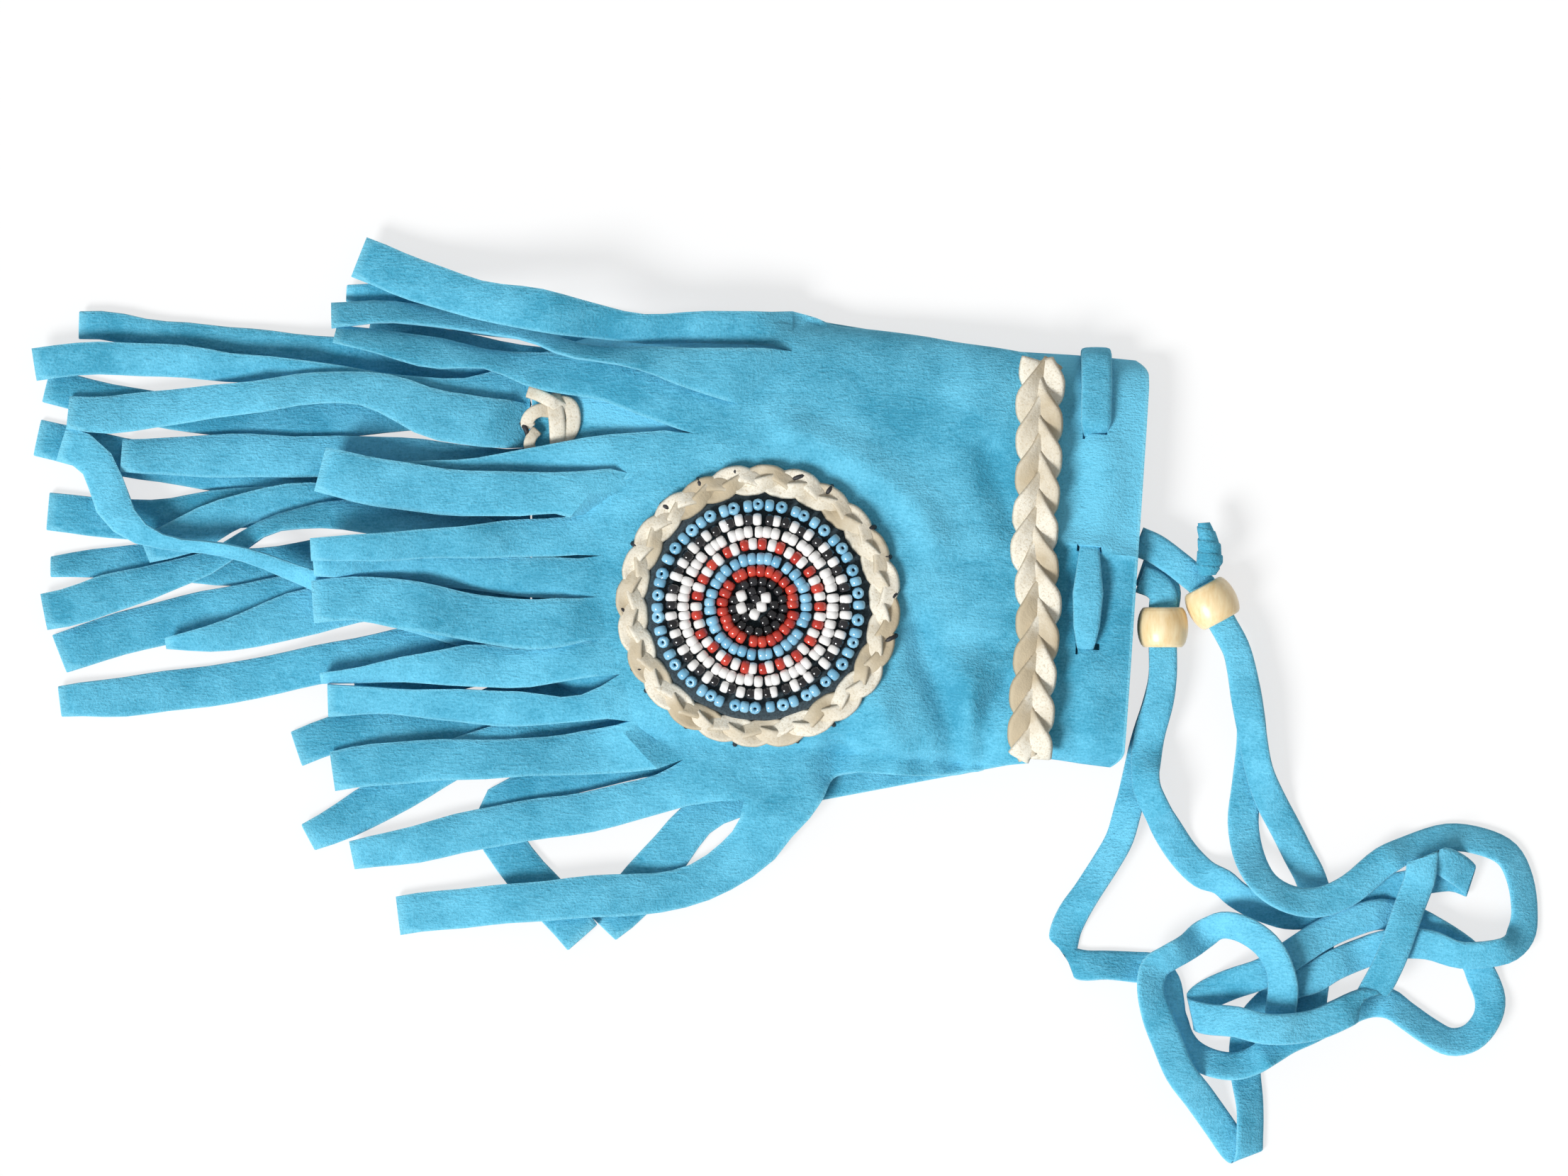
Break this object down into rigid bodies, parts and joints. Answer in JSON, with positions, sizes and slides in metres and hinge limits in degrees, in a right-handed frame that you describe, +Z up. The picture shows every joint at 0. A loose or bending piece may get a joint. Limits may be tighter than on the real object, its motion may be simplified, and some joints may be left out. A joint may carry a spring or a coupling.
{
  "type": "drawstring pouch",
  "caption": "Flat-lying fringed suede drawstring pouch with a beaded rosette, a tan braid and lace pull loops with wood beads.",
  "frame": {"origin": "centre of the bag's footprint, laces and beads apart, on the surface it lies on", "axes": "+X from the fringe to the mouth, +Z up from the surface through the beaded front, +Y to the side of the longer fringe"},
  "size_m": [0.354, 0.2185, 0.0185],
  "materials": {
    "turquoise_suede": "matte nap",
    "turquoise_lace": "matte nap",
    "tan_lace": "smooth matte",
    "turned_wood": "varnished",
    "dark_backing": "felted",
    "white_beads": "gloss",
    "black_beads": "gloss",
    "red_beads": "gloss",
    "light_blue_beads": "gloss"
  },
  "bodies": {
    "bag": {"back_skirt": "turquoise_suede", "front_skirt": "turquoise_suede", "inner_pouch": "turquoise_suede", "tail_fringe_lower": "turquoise_suede", "tail_fringe_upper": "turquoise_suede", "drawstring": "turquoise_lace", "lace_loop_1": "turquoise_lace", "lace_loop_2": "turquoise_lace", "rolled_lace_end": "turquoise_lace", "bottom_lacing": "tan_lace", "mouth_braid": "tan_lace", "rosette_braid": "tan_lace", "rosette_backing": "dark_backing", "bead_cluster_centre": "white_beads", "bead_ring_1": "black_beads", "bead_ring_2": "red_beads", "bead_ring_3": "light_blue_beads", "bead_ring_4": "red_beads", "bead_ring_5": "white_beads", "bead_ring_6": "black_beads", "bead_ring_7": "light_blue_beads"},
    "bead_1": {"wood_bead_1": "turned_wood"},
    "bead_2": {"wood_bead_2": "turned_wood"}
  },
  "joints": [
    {"name": "bead_1_slide", "type": "slide", "parent": "bag", "child": "bead_1", "axis": [0, -1, 0], "range_m": [0, 0.006]},
    {"name": "bead_2_slide", "type": "slide", "parent": "bag", "child": "bead_2", "axis": [0.4801, -0.8772, 0], "range_m": [0, 0.006]}
  ]
}
